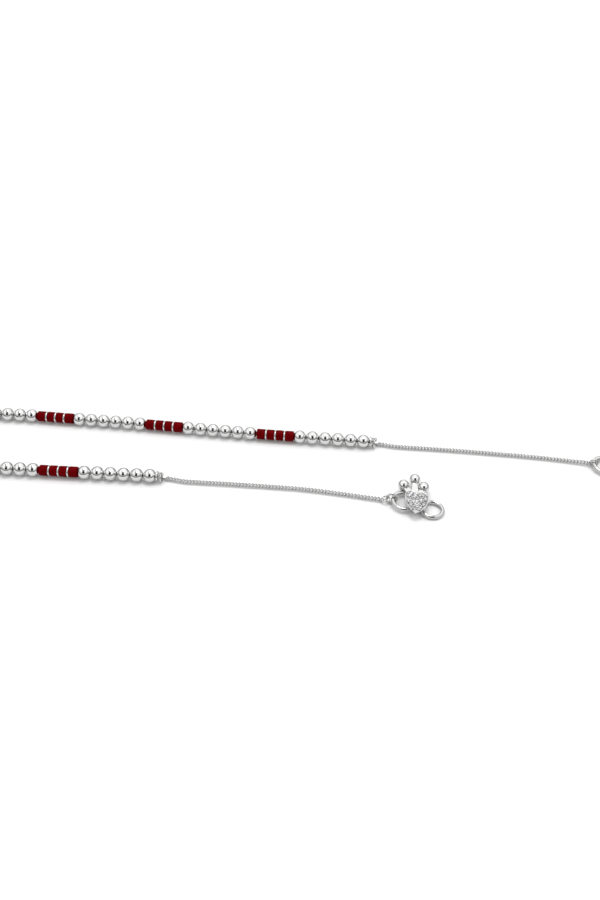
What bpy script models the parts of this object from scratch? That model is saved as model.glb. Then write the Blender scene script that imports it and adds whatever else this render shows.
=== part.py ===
# Silver anklet of ball beads and dark red tube beads, with a chain at each end and an S-hook
# clasp that carries a pave heart. It lies open on a flat surface, folded once like a hairpin.
# Metres, +Z up. The long way of the hairpin is X, and the surface it lies on is Z = 0.

from bisect import bisect_right
from math import acos, asin, atan2, ceil, cos, hypot, pi, radians, sin, sqrt

import bmesh
import bpy
from mathutils import Matrix, Vector

MM = 0.001

# Silver ball beads, threaded in groups, and the covered thread through them
BALL_DIAMETER = 2.60 * MM
THREAD_DIAMETER = 0.72 * MM
BALLS_IN_GROUP = 6
GROUPS = "S R S R S R S R S R S R S"
BALL_RING_ANGLES = (40, 65, 90, 115, 140)

# Red tube beads, four in a group, with a thin silver disc between neighbours
TUBE_DIAMETER = 2.06 * MM
TUBE_LENGTH = 1.40 * MM
END_TUBE_LENGTH = 1.60 * MM
TUBES_IN_GROUP = 4
DISC_DIAMETER = 2.12 * MM
DISC_THICKNESS = 0.36 * MM
BORE_CLEARANCE = 0.08 * MM
SIDE_CLEARANCE = 0.03 * MM

# The string's two ends: a disc, and an eye that stands on the thread
EYE_DIAMETER = 0.86 * MM
EYE_WIRE = 0.30 * MM
EYE_REACH = 0.85 * MM

# Chains
CHAIN_DIAMETER = 1.04 * MM
CHAIN_LENGTH = 40.90 * MM
CHAIN_POINT_STEP = 2.60 * MM

# Rings: diameters are measured at the middle of the wire
JUMP_RING_DIAMETER = 1.70 * MM
JUMP_RING_WIRE = 0.36 * MM
END_LINK_DIAMETER = 1.45 * MM
END_LINK_WIRE = 0.30 * MM
HOOK_RING_DIAMETER = 1.76 * MM
HOOK_RING_WIRE = 0.44 * MM
CATCH_RING_DIAMETER = 4.20 * MM
CATCH_RING_WIRE = 0.90 * MM
RING_CLEARANCE = 0.05 * MM
# The link between the lower chain and the hook ring, how the ring leans back and the hook lies in it
END_LINK_SLOPE = radians(20)
END_LINK_LIFT = 0.35 * MM
HOOK_RING_PLAY = 0.29 * MM
HOOK_RING_LEAN = radians(30)
HOOK_REST = radians(10)

# S-hook: two open loops of one wire
HOOK_WIRE = 0.76 * MM
BIG_LOOP_DIAMETER = 4.30 * MM
SMALL_LOOP_DIAMETER = 3.80 * MM
LOOP_SPACING = 5.20 * MM
HOOK_TURN = radians(-11)
BIG_LOOP_START = radians(64)
SMALL_LOOP_END = radians(-166)

# Heart and its stones, soldered across the middle of the hook
HEART_WIDTH = 4.40 * MM
HEART_LENGTH = 5.70 * MM
LOBE_DIAMETER = 2.36 * MM
HEART_SIDE_RADIUS = 5.00 * MM
HEART_THICKNESS = 0.90 * MM
HEART_RIM = 0.28 * MM
HEART_DOME = 0.30 * MM
# Lift of the domed face at each step inward from the rim, as shares of the dome's height
HEART_STEPS = (0.15, 0.50, 0.35)
HEART_EDGE_DROP = 0.75
HEART_PLACE = (-0.45 * MM, -0.48 * MM)
HEART_TURN = radians(2)
SOLDER_DEPTH = 0.10 * MM
STONE_DIAMETER = 0.76 * MM
STONE_TABLE = 0.42 * MM
STONE_HEIGHT = 0.24 * MM
# Rows of stones: height up the heart and places across it, as shares of its half length and half width
STONE_ROWS = (
    (0.60, (-0.70, -0.33, 0.33, 0.70)),
    (0.27, (-0.74, -0.37, 0.00, 0.37, 0.74)),
    (-0.04, (-0.54, -0.18, 0.18, 0.54)),
    (-0.35, (-0.36, 0.00, 0.36)),
    (-0.65, (0.00,)),
)

# Crown of three ball-tipped prongs behind the heart
CROWN_BALL_DIAMETER = 1.96 * MM
PRONG_THICKNESS = 0.50 * MM
PRONG_ROOT_WIDTH = 1.45 * MM
PRONG_TIP_WIDTH = 0.80 * MM
CROWN_RISE = 0.55 * MM
# Root and tip of each prong's centre line, as shares of the heart's half width and half length
PRONGS = (
    ((-0.42, 0.70), (-1.16, 1.49)),
    ((-0.18, 0.74), (-0.25, 2.16)),
    ((0.26, 0.70), (0.53, 1.54)),
)

# Facets
STRING_SIDES = 12
RING_SIDES = 16
WIRE_SIDES = 6
HOOK_WIRE_SIDES = 8
LOOP_STEPS = 22
HEART_SIDE_STEPS = 4
LOBE_STEPS = 9
STONE_SIDES = 8
CROWN_BALL_SIDES = 12

# Route along the whole anklet, from the catch ring to the hook, in millimetres on the surface
ROUTE = [
    (67.14, 6.49),
    (62.24, 7.24),
    (53.14, 7.84),
    (38.74, 8.19),
    (22.24, 8.29),
    (-1.26, 8.49),
    (-23.66, 9.21),
    (-36.26, 9.44),
    (-46.26, 9.59),
    (-54.26, 9.39),
    (-61.16, 8.39),
    (-66.46, 5.44),
    (-68.46, 1.64),
    (-66.86, -2.56),
    (-61.86, -5.56),
    (-54.26, -6.26),
    (-45.66, -6.01),
    (-31.26, -5.71),
    (-17.26, -5.36),
    (-9.66, -5.56),
    (3.34, -5.66),
    (9.94, -5.66),
    (16.14, -5.96),
    (21.84, -6.36),
    (26.74, -6.71),
    (34.74, -7.36),
]
ROUTE_STEPS = 24

# Circles of the string nearer than this along it are one
SAME_PLACE = 0.001 * MM

BALL_RADIUS = BALL_DIAMETER / 2
THREAD_RADIUS = THREAD_DIAMETER / 2
BALL_PITCH = 2 * sqrt(BALL_RADIUS**2 - THREAD_RADIUS**2)
TUBE_RADIUS = TUBE_DIAMETER / 2
DISC_RADIUS = DISC_DIAMETER / 2
# Turns of a ring made flat, so that it stands along the route or across it
UPRIGHT = Matrix.Rotation(pi / 2, 4, "X")
ACROSS = Matrix.Rotation(pi / 2, 4, "Y")


def clear_scene():
    for leftover in list(bpy.data.objects):
        bpy.data.objects.remove(leftover, do_unlink=True)


def metal_or_glass(name, colour, metallic, roughness):
    material = bpy.data.materials.new(name)
    material.use_nodes = True
    shader = material.node_tree.nodes["Principled BSDF"]
    shader.inputs["Base Color"].default_value = (*colour, 1)
    shader.inputs["Metallic"].default_value = metallic
    shader.inputs["Roughness"].default_value = roughness
    return material


def new_object(name, mesh_or_curve, material):
    piece = bpy.data.objects.new(name, mesh_or_curve)
    bpy.context.scene.collection.objects.link(piece)
    piece.data.materials.append(material)
    return piece


def object_from(bm, name, material, sharp_angle=radians(40)):
    bmesh.ops.recalc_face_normals(bm, faces=bm.faces)
    mesh = bpy.data.meshes.new(name)
    bm.to_mesh(mesh)
    bm.free()
    mesh.shade_smooth()
    mesh.set_sharp_from_angle(angle=sharp_angle)
    return new_object(name, mesh, material)


# The route, as a smooth curve measured by the length along it


def smooth_points(corners):
    """Points of a Catmull-Rom curve through the corners, close together."""
    first = 2 * corners[0] - corners[1]
    last = 2 * corners[-1] - corners[-2]
    framed = [first, *corners, last]
    points = []
    for a, b, c, d in zip(framed, framed[1:], framed[2:], framed[3:]):
        for step in range(ROUTE_STEPS):
            t = step / ROUTE_STEPS
            bend = (2 * a - 5 * b + 4 * c - d) * t**2 + (3 * b - a - 3 * c + d) * t**3
            points.append((2 * b + (c - a) * t + bend) / 2)
    return [*points, corners[-1]]


class Route:
    """Gives the place and heading at any length along the anklet, straight on past both ends."""

    def __init__(self, corners):
        self.points = smooth_points([Vector(corner) * MM for corner in corners])
        self.lengths = [0.0]
        for a, b in zip(self.points, self.points[1:]):
            self.lengths.append(self.lengths[-1] + (b - a).length)

    def at(self, along):
        span = min(max(bisect_right(self.lengths, along) - 1, 0), len(self.points) - 2)
        a, b = self.points[span], self.points[span + 1]
        return a + (b - a).normalized() * (along - self.lengths[span])

    def heading(self, along):
        reach = BALL_DIAMETER / 4
        ahead = self.at(along + reach) - self.at(along - reach)
        return atan2(ahead.y, ahead.x)

    def frame(self, along, height):
        """A frame whose +X runs on along the route, and whose origin is at that height."""
        place = self.at(along)
        turned = Matrix.Rotation(self.heading(along), 4, "Z")
        return Matrix.Translation((place.x, place.y, height)) @ turned


# Turned and drawn shapes: circles, one after the other, joined by a skin


def circle(bm, frame, radius, sides, ends=False):
    """A circle about the frame's own X axis, its first corner straight up."""
    upright = frame @ Matrix.Rotation(pi / 2, 4, "Y")
    made = bmesh.ops.create_circle(
        bm, cap_ends=ends, segments=sides, radius=radius, matrix=upright
    )
    return made["verts"]


def skin(bm, rings, closed=False):
    following = rings[1:] + rings[:1] if closed else rings[1:]
    for ring, after in zip(rings, following):
        count = len(ring)
        for i in range(count):
            j = (i + 1) % count
            bm.faces.new((ring[i], ring[j], after[j], after[i]))


def drawn_wire(bm, frames, radius, sides, closed=False):
    """Wire of one thickness through the frames, with flat ends unless it is closed."""
    last = len(frames) - 1
    rings = [
        circle(bm, frame, radius, sides, ends=not closed and i in (0, last))
        for i, frame in enumerate(frames)
    ]
    skin(bm, rings, closed)


def ring_frames(diameter, steps):
    """Frames round a ring that lies in the XY plane about the origin."""
    frames = []
    for step in range(steps):
        angle = 2 * pi * step / steps
        out = Matrix.Translation((diameter / 2, 0, 0))
        frames.append(Matrix.Rotation(angle, 4, "Z") @ out @ Matrix.Rotation(pi / 2, 4, "Z"))
    return frames


def add_ring(bm, diameter, wire, placed):
    frames = [placed @ frame for frame in ring_frames(diameter, RING_SIDES)]
    drawn_wire(bm, frames, wire / 2, WIRE_SIDES, closed=True)


def make_ring(name, diameter, wire, placed, material):
    bm = bmesh.new()
    add_ring(bm, diameter, wire, placed)
    return object_from(bm, name, material)


# The order of everything along the route


def turning_gap(route, along, tube_length):
    """Gap at the thread between a tube and a disc: their rims just clear where the string bends."""
    turn = route.heading(along + DISC_THICKNESS / 2) - route.heading(along - tube_length / 2)
    turn = asin(sin(turn))
    return SIDE_CLEARANCE + 2 * DISC_RADIUS * abs(sin(turn / 2))


def string_order(route, start):
    """Places of balls, discs and tubes from the string's first end, and where its other end is."""
    balls, discs, tubes = [], [], []
    along = start
    for group in GROUPS.split():
        if group == "S":
            for _ in range(BALLS_IN_GROUP):
                balls.append(along + BALL_PITCH / 2)
                along += BALL_PITCH
            continue
        for place in range(TUBES_IN_GROUP):
            first, last = place == 0, place == TUBES_IN_GROUP - 1
            length = END_TUBE_LENGTH if first or last else TUBE_LENGTH
            along += SIDE_CLEARANCE if first else turning_gap(route, along, -length)
            tubes.append((along, length))
            along += length
            along += SIDE_CLEARANCE if last else turning_gap(route, along, length)
            if not last:
                discs.append(along + DISC_THICKNESS / 2)
                along += DISC_THICKNESS
    return balls, discs, tubes, along


# The string: balls, discs, thread and end eyes, as two halves that meet


def ball_profile():
    """Places along the string, from a ball's middle, and the radius there."""
    angles = [radians(degrees_round) for degrees_round in BALL_RING_ANGLES]
    round_ball = [(-BALL_RADIUS * cos(angle), BALL_RADIUS * sin(angle)) for angle in angles]
    return [(-BALL_PITCH / 2, THREAD_RADIUS), *round_ball, (BALL_PITCH / 2, THREAD_RADIUS)]


def disc_profile():
    half = DISC_THICKNESS / 2
    return [(-half, THREAD_RADIUS), (-half, DISC_RADIUS), (half, DISC_RADIUS), (half, THREAD_RADIUS)]


def string_stations(route, balls, discs):
    """(length along, frame, radius) of each circle of the string, in order. Touching balls share one."""
    pieces = [(along, ball_profile()) for along in balls] + [(along, disc_profile()) for along in discs]
    stations = []
    for along, profile in sorted(pieces):
        middle = route.frame(along, BALL_RADIUS)
        for offset, radius in profile:
            place = along + offset
            if radius > THREAD_RADIUS:
                stations.append((place, middle @ Matrix.Translation((offset, 0, 0)), radius))
            elif not (stations and stations[-1][2] == radius and place - stations[-1][0] < SAME_PLACE):
                stations.append((place, route.frame(place, BALL_RADIUS), radius))
    return stations


def make_half_string(name, route, balls, discs, end, onward, material):
    """onward is +1 if the string's free end is at the far end of the route, else -1."""
    bm = bmesh.new()
    stations = string_stations(route, balls, [*discs, end + onward * DISC_THICKNESS / 2])
    tip = end + onward * EYE_REACH
    thread_end = (tip, route.frame(tip, BALL_RADIUS), THREAD_RADIUS)
    stations = [*stations, thread_end] if onward > 0 else [thread_end, *stations]
    last = len(stations) - 1
    rings = [
        circle(bm, frame, radius, STRING_SIDES, ends=i in (0, last))
        for i, (_, frame, radius) in enumerate(stations)
    ]
    skin(bm, rings)
    half = object_from(bm, name, material)

    eye = make_ring(
        name + "_eye",
        EYE_DIAMETER,
        EYE_WIRE,
        route.frame(tip, eye_height()) @ UPRIGHT,
        material,
    )
    join(half, eye)
    return half


def eye_height():
    """The eye holds the top of a jump ring that stands on the surface."""
    return jump_ring_height() + JUMP_RING_DIAMETER / 2


def jump_ring_height():
    return (JUMP_RING_DIAMETER + JUMP_RING_WIRE) / 2


def join(base, tool):
    """Solders one piece to another, so that both are one solid."""
    union = base.modifiers.new(tool.name, "BOOLEAN")
    union.operation = "UNION"
    union.object = tool
    tool.hide_render = True
    tool.display_type = "WIRE"


def make_tube_bead(name, route, start, length, material):
    bm = bmesh.new()
    middle = route.frame(start + length / 2, BALL_RADIUS)
    bore = THREAD_RADIUS + BORE_CLEARANCE
    near = middle @ Matrix.Translation((-length / 2, 0, 0))
    far = middle @ Matrix.Translation((length / 2, 0, 0))
    rings = [
        circle(bm, near, TUBE_RADIUS, STRING_SIDES),
        circle(bm, far, TUBE_RADIUS, STRING_SIDES),
        circle(bm, far, bore, STRING_SIDES),
        circle(bm, near, bore, STRING_SIDES),
    ]
    skin(bm, rings, closed=True)
    return object_from(bm, name, material)


def make_chain(name, route, start, length, material):
    """The chain's outer form, as a round rod laid along the route."""
    curve = bpy.data.curves.new(name, "CURVE")
    curve.dimensions = "3D"
    curve.bevel_depth = CHAIN_DIAMETER / 2
    curve.bevel_resolution = 2
    curve.use_fill_caps = True
    steps = max(2, ceil(length / CHAIN_POINT_STEP))
    line = curve.splines.new("POLY")
    line.points.add(steps)
    for i, point in enumerate(line.points):
        place = route.at(start + length * i / steps)
        point.co = (place.x, place.y, CHAIN_DIAMETER / 2, 1)
    return new_object(name, curve, material)


# The S-hook with its heart, stones and crown, in a frame on the hook's own middle


def hook_wire_frames():
    big, small = BIG_LOOP_DIAMETER / 2, SMALL_LOOP_DIAMETER / 2
    axis = Matrix.Rotation(HOOK_TURN, 4, "Z")
    cross = acos(min((big + small) / LOOP_SPACING, 1.0))
    big_centre = Vector((-LOOP_SPACING / 2, 0, 0))
    small_centre = Vector((LOOP_SPACING / 2, 0, 0))
    frames = []
    sweep = 2 * pi - cross - BIG_LOOP_START
    for step in range(LOOP_STEPS + 1):
        angle = BIG_LOOP_START + sweep * step / LOOP_STEPS
        place = big_centre + big * Vector((cos(angle), sin(angle), 0))
        frames.append(axis @ Matrix.Translation(place) @ Matrix.Rotation(angle + pi / 2, 4, "Z"))
    sweep = pi - cross - SMALL_LOOP_END
    for step in range(LOOP_STEPS + 1):
        angle = pi - cross - sweep * step / LOOP_STEPS
        place = small_centre + small * Vector((cos(angle), sin(angle), 0))
        frames.append(axis @ Matrix.Translation(place) @ Matrix.Rotation(angle - pi / 2, 4, "Z"))
    return frames


def arc(centre, radius, first, last, steps):
    """Points round an arc from its first angle up to, but not including, its last."""
    angles = [first + (last - first) * step / steps for step in range(steps)]
    return [centre + radius * Vector((cos(angle), sin(angle))) for angle in angles]


def heart_outline():
    """Corners of the heart, anticlockwise from its tip: bowed sides that run into round lobes."""
    lobe = LOBE_DIAMETER / 2
    tip = Vector((0, -HEART_LENGTH / 2))
    lobe_centre = Vector((HEART_WIDTH / 2 - lobe, HEART_LENGTH / 2 - lobe))
    reach = lobe_centre - tip
    offset = HEART_SIDE_RADIUS - lobe
    bow = (reach.length_squared + offset**2 - HEART_SIDE_RADIUS**2) / (2 * offset * reach.length)
    shoulder = atan2(reach.y, reach.x) - acos(bow)
    side_centre = lobe_centre - offset * Vector((cos(shoulder), sin(shoulder)))
    start = atan2(tip.y - side_centre.y, tip.x - side_centre.x)
    cleft = pi - acos(lobe_centre.x / lobe)
    right = arc(side_centre, HEART_SIDE_RADIUS, start, shoulder, HEART_SIDE_STEPS)
    right += arc(lobe_centre, lobe, shoulder, cleft, LOBE_STEPS)
    low_point = lobe_centre + lobe * Vector((cos(cleft), sin(cleft)))
    left = [Vector((-corner.x, corner.y)) for corner in reversed(right[1:])]
    return [*right, low_point, *left]


def on_heart(across, up):
    return Vector((across * HEART_WIDTH / 2, up * HEART_LENGTH / 2, 0))


def heart_base():
    return HOOK_WIRE / 2 - SOLDER_DEPTH


def make_heart(material):
    bm = bmesh.new()
    base = Vector((0, 0, heart_base()))
    outline = [bm.verts.new(base + corner.to_3d()) for corner in heart_outline()]
    bottom = bm.faces.new(outline)
    raised = bmesh.ops.extrude_face_region(bm, geom=[bottom])
    top_corners = [part for part in raised["geom"] if isinstance(part, bmesh.types.BMVert)]
    bmesh.ops.translate(bm, verts=top_corners, vec=(0, 0, HEART_THICKNESS))
    top = next(part for part in raised["geom"] if isinstance(part, bmesh.types.BMFace))
    for lift in HEART_STEPS:
        bmesh.ops.inset_region(bm, faces=[top], thickness=HEART_RIM)
        bmesh.ops.translate(bm, verts=top.verts, vec=(0, 0, HEART_DOME * lift))
    bmesh.ops.triangulate(bm, faces=bm.faces)
    return object_from(bm, "heart", material)


def stone_height(across, up):
    """Height of the domed face under a stone, from how far out on the heart the stone sits."""
    far_out = min(1.0, across**2 + up**2)
    return heart_base() + HEART_THICKNESS + HEART_DOME * (1 - HEART_EDGE_DROP * far_out)


def make_stones(material):
    bm = bmesh.new()
    for up, row in STONE_ROWS:
        for across in row:
            place = on_heart(across, up)
            place.z = stone_height(across, up)
            bmesh.ops.create_cone(
                bm,
                cap_ends=True,
                segments=STONE_SIDES,
                radius1=STONE_DIAMETER / 2,
                radius2=STONE_TABLE / 2,
                depth=STONE_HEIGHT,
                matrix=Matrix.Translation(place),
            )
    return object_from(bm, "stones", material, radians(10))


def crown_height():
    return heart_base() + CROWN_RISE


def make_prong(name, root, tip, material):
    """A flat prong that narrows from its root under the heart to its ball."""
    bm = bmesh.new()
    length = (tip - root).length
    corners = (
        (0, -PRONG_ROOT_WIDTH / 2),
        (length, -PRONG_TIP_WIDTH / 2),
        (length, PRONG_TIP_WIDTH / 2),
        (0, PRONG_ROOT_WIDTH / 2),
    )
    turned = Matrix.Rotation(atan2(tip.y - root.y, tip.x - root.x), 4, "Z")
    lower = crown_height() - PRONG_THICKNESS / 2
    placed = Matrix.Translation((root.x, root.y, lower)) @ turned
    base = bm.faces.new([bm.verts.new(placed @ Vector((*corner, 0))) for corner in corners])
    raised = bmesh.ops.extrude_face_region(bm, geom=[base])
    upper = [part for part in raised["geom"] if isinstance(part, bmesh.types.BMVert)]
    bmesh.ops.translate(bm, verts=upper, vec=(0, 0, PRONG_THICKNESS))
    return object_from(bm, name, material)


def make_crown_ball(name, place, material):
    bm = bmesh.new()
    bmesh.ops.create_uvsphere(
        bm,
        u_segments=CROWN_BALL_SIDES,
        v_segments=CROWN_BALL_SIDES // 2,
        radius=CROWN_BALL_DIAMETER / 2,
        matrix=Matrix.Translation((place.x, place.y, crown_height())),
    )
    return object_from(bm, name, material)


def make_heart_hook(placed, silver, crystal):
    bm = bmesh.new()
    drawn_wire(bm, hook_wire_frames(), HOOK_WIRE / 2, HOOK_WIRE_SIDES)
    hook = object_from(bm, "heart_hook", silver)
    soldered = [make_heart(silver)]
    for i, (root, tip) in enumerate(PRONGS, 1):
        soldered.append(make_prong(f"prong_{i}", on_heart(*root), on_heart(*tip), silver))
        soldered.append(make_crown_ball(f"crown_ball_{i}", on_heart(*tip), silver))
    soldered.append(make_stones(crystal))
    hook_middle = new_empty("hook_middle", placed)
    hook.parent = hook_middle
    turned = Matrix.Translation((*HEART_PLACE, 0)) @ Matrix.Rotation(HEART_TURN, 4, "Z")
    heart_middle = new_empty("heart_middle", turned)
    heart_middle.parent = hook_middle
    for piece in soldered:
        piece.parent = heart_middle
        join(hook, piece)
    return hook


def new_empty(name, placed):
    empty = bpy.data.objects.new(name, None)
    bpy.context.scene.collection.objects.link(empty)
    empty.matrix_local = placed
    return empty


# The upper end: catch ring, link, chain and jump ring


def make_upper_end(route, silver):
    """Builds everything before the string, and returns the length at which the string starts."""
    # The catch ring lies flat but for the link wire under its near side
    link_height = (END_LINK_DIAMETER + END_LINK_WIRE) / 2
    near_height = END_LINK_WIRE + RING_CLEARANCE + CATCH_RING_WIRE / 2
    far_height = CATCH_RING_WIRE / 2
    tilt = asin((near_height - far_height) / CATCH_RING_DIAMETER)
    tilted = Matrix.Rotation(-tilt, 4, "Y")
    placed = route.frame(0, (near_height + far_height) / 2) @ tilted
    make_ring("catch_ring", CATCH_RING_DIAMETER, CATCH_RING_WIRE, placed, silver)

    along = CATCH_RING_DIAMETER / 2 * cos(tilt)
    placed = route.frame(along, link_height) @ UPRIGHT
    make_ring("end_link_upper", END_LINK_DIAMETER, END_LINK_WIRE, placed, silver)

    along += (END_LINK_DIAMETER + END_LINK_WIRE) / 2 + RING_CLEARANCE
    make_chain("chain_upper", route, along, CHAIN_LENGTH, silver)
    along += CHAIN_LENGTH + RING_CLEARANCE + JUMP_RING_WIRE / 2
    make_jump_ring("jump_ring_upper", route, along, silver)
    return along + EYE_REACH


def make_jump_ring(name, route, along, silver):
    """A ring that stands on the surface, across the route."""
    placed = route.frame(along, jump_ring_height()) @ ACROSS
    make_ring(name, JUMP_RING_DIAMETER, JUMP_RING_WIRE, placed, silver)


# The string


def make_string(route, start, silver, red):
    """Builds the beads and their thread, and returns the length at which the string ends."""
    balls, discs, tubes, end = string_order(route, start)
    middle = len(balls) // 2
    meet = (balls[middle - 1] + balls[middle]) / 2
    first_discs = [along for along in discs if along < meet]
    other_discs = [along for along in discs if along > meet]
    make_half_string("string_upper", route, balls[:middle], first_discs, start, -1, silver)
    make_half_string("string_lower", route, balls[middle:], other_discs, end, 1, silver)
    for i, (along, length) in enumerate(tubes, 1):
        make_tube_bead(f"red_bead_{i:02d}", route, along, length, red)
    return end


# The lower end: jump ring, chain and link, then the hook ring with the hook through it


def make_lower_end(route, end, silver, crystal):
    along = end + EYE_REACH
    make_jump_ring("jump_ring_lower", route, along, silver)
    along += JUMP_RING_WIRE / 2 + RING_CLEARANCE
    make_chain("chain_lower", route, along, CHAIN_LENGTH, silver)

    # The end link slopes up from the chain and passes round the hook ring's near side
    along += CHAIN_LENGTH + RING_CLEARANCE
    ring_radius = HOOK_RING_DIAMETER / 2
    ring_height = ring_radius * cos(HOOK_RING_LEAN) + HOOK_RING_WIRE / 2
    link_reach = (END_LINK_DIAMETER + END_LINK_WIRE) / 2
    link_middle = along + link_reach * cos(END_LINK_SLOPE)
    link_height = END_LINK_WIRE / 2 + END_LINK_DIAMETER / 2 * sin(END_LINK_SLOPE) + END_LINK_LIFT
    sloped = Matrix.Rotation(-END_LINK_SLOPE, 4, "Y")
    placed = route.frame(link_middle, link_height) @ sloped
    make_ring("end_link_lower", END_LINK_DIAMETER, END_LINK_WIRE, placed, silver)
    crossing = sqrt(ring_radius**2 - ((ring_height - link_height) / cos(HOOK_RING_LEAN)) ** 2)
    ring_middle = link_middle + HOOK_RING_PLAY + crossing
    leaning = Matrix.Rotation(-HOOK_RING_LEAN, 4, "X")
    placed = route.frame(ring_middle, ring_height) @ leaning @ UPRIGHT
    make_ring("hook_ring", HOOK_RING_DIAMETER, HOOK_RING_WIRE, placed, silver)

    # The hook's big loop rests in the ring, low and away from the chain
    room = (HOOK_RING_DIAMETER - HOOK_RING_WIRE - HOOK_WIRE) / 2 - RING_CLEARANCE
    wire_height = ring_height - room * sin(HOOK_REST)
    wire_along = ring_middle + room * cos(HOOK_REST)
    near = (LOOP_SPACING * cos(HOOK_TURN) + BIG_LOOP_DIAMETER) / 2
    far = (LOOP_SPACING * cos(HOOK_TURN) + SMALL_LOOP_DIAMETER) / 2
    aside = LOOP_SPACING / 2 * sin(HOOK_TURN)
    tilted = Matrix.Rotation(asin((wire_height - HOOK_WIRE / 2) / (near + far)), 4, "Y")
    wire_place = route.frame(wire_along, wire_height)
    make_heart_hook(wire_place @ tilted @ Matrix.Translation((near, aside, 0)), silver, crystal)


def main():
    clear_scene()
    silver = metal_or_glass("silver", (0.86, 0.86, 0.87), 1.0, 0.12)
    red = metal_or_glass("red_glass", (0.22, 0.0, 0.008), 0.0, 0.18)
    crystal = metal_or_glass("clear_stone", (0.80, 0.80, 0.84), 0.0, 0.05)
    route = Route(ROUTE)
    start = make_upper_end(route, silver)
    end = make_string(route, start, silver, red)
    make_lower_end(route, end, silver, crystal)


main()
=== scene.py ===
from bisect import bisect_right
from math import acos, asin, atan2, cos, hypot, pi, radians, sin, sqrt

import bmesh
import bpy
from mathutils import Matrix, Vector
from mathutils.bvhtree import BVHTree


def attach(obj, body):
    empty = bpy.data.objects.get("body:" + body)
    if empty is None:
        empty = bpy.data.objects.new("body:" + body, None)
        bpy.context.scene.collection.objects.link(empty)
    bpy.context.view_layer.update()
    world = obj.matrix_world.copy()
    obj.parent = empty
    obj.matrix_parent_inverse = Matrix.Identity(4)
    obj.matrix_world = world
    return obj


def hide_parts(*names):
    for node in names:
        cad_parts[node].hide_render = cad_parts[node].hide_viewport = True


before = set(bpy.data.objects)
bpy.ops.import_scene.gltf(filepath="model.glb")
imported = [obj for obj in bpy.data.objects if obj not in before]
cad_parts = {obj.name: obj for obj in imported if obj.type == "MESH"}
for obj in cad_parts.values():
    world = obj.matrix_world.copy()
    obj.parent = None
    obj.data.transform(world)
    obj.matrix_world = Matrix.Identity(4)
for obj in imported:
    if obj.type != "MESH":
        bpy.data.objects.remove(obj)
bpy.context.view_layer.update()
MM = 0.001

# The surface and the camera. The anklet lies on a plain white table that runs back and to the
# sides, and is photographed from above its near side with a lens about its own length away.

TABLE_REACH = 0.9

surface_shape = bmesh.new()
bmesh.ops.create_grid(surface_shape, x_segments=1, y_segments=1, size=TABLE_REACH)
surface_mesh = bpy.data.meshes.new("white_table")
surface_shape.to_mesh(surface_mesh)
surface_shape.free()
white_table = bpy.data.objects.new("white_table", surface_mesh)
bpy.context.scene.collection.objects.link(white_table)
table_white = bpy.data.materials.new("table_white")
table_white.use_nodes = True
table_shader = table_white.node_tree.nodes["Principled BSDF"]
table_shader.inputs["Base Color"].default_value = (0.93, 0.93, 0.93, 1)
table_shader.inputs["Roughness"].default_value = 0.85
table_shader.inputs["Specular IOR Level"].default_value = 0.2
surface_mesh.materials.append(table_white)

camera_data = bpy.data.cameras.new("photo_camera")
camera_data.lens = 35.2
camera_data.sensor_width = 36
camera_data.clip_start = 0.01
photo_camera = bpy.data.objects.new("photo_camera", camera_data)
photo_camera.location = (21.24 * MM, -121.26 * MM, 115.1 * MM)
photo_camera.rotation_euler = (radians(48), 0, radians(5.6))
bpy.context.scene.collection.objects.link(photo_camera)
bpy.context.scene.camera = photo_camera
bpy.context.scene.view_settings.view_transform = "Standard"

# The light. A white tent stands over the table with a bright window high up on each side and one
# behind, the camera's dark opening in its near side, a grey seam above that, and a dark gap round
# its foot. A soft lamp a little behind the anklet gives the short shadows before it.

CAMERA_SIDE = (0.0725, -0.7395, 0.669)
DOME_LIGHT = 0.60
WINDOW_LIGHT = 0.85

tent = bpy.data.worlds.new("light_tent")
bpy.context.scene.world = tent
tent.use_nodes = True
tent_nodes = tent.node_tree.nodes
tent_links = tent.node_tree.links
sky = tent_nodes["Background"]
direction = tent_nodes.new("ShaderNodeTexCoord").outputs["Generated"]


def tent_math(operation, first, second=None, third=None):
    node = tent_nodes.new("ShaderNodeMath")
    node.operation = operation
    for socket, value in zip(node.inputs, (first, second, third)):
        if value is None:
            continue
        if isinstance(value, (int, float)):
            socket.default_value = value
        else:
            tent_links.new(value, socket)
    return node.outputs[0]


def tent_dot(vector):
    node = tent_nodes.new("ShaderNodeVectorMath")
    node.operation = "DOT_PRODUCT"
    tent_links.new(direction, node.inputs[0])
    node.inputs[1].default_value = vector
    return node.outputs["Value"]


def tent_edge(value, low, high):
    """0 below low and 1 above high, with a soft edge between."""
    node = tent_nodes.new("ShaderNodeMapRange")
    node.interpolation_type = "SMOOTHSTEP"
    tent_links.new(value, node.inputs["Value"])
    node.inputs["From Min"].default_value = low
    node.inputs["From Max"].default_value = high
    return node.outputs["Result"]


towards_camera = Vector(CAMERA_SIDE).normalized()
level_side = Vector((towards_camera.x, towards_camera.y, 0)).normalized()
across_side = level_side.cross(Vector((0, 0, 1)))
height_up = tent_dot((0, 0, 1))
forward = tent_dot(tuple(level_side))
sideways = tent_math("ABSOLUTE", tent_dot(tuple(across_side)))
opening = tent_edge(tent_dot(tuple(towards_camera)), cos(radians(25)), cos(radians(15)))
windows = tent_math("MULTIPLY", tent_edge(sideways, 0.22, 0.42), tent_edge(height_up, 0.35, 0.62))
back_way = Vector((-towards_camera.x, -towards_camera.y, towards_camera.z))
back_window = tent_edge(tent_dot(tuple(back_way)), cos(radians(30)), cos(radians(20)))
windows = tent_math("MAXIMUM", windows, back_window)
seam = tent_math("MULTIPLY", tent_edge(sideways, 0.24, 0.14), tent_edge(height_up, 0.60, 0.72))
seam = tent_math("MULTIPLY", seam, tent_edge(forward, -0.45, -0.10))
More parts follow.
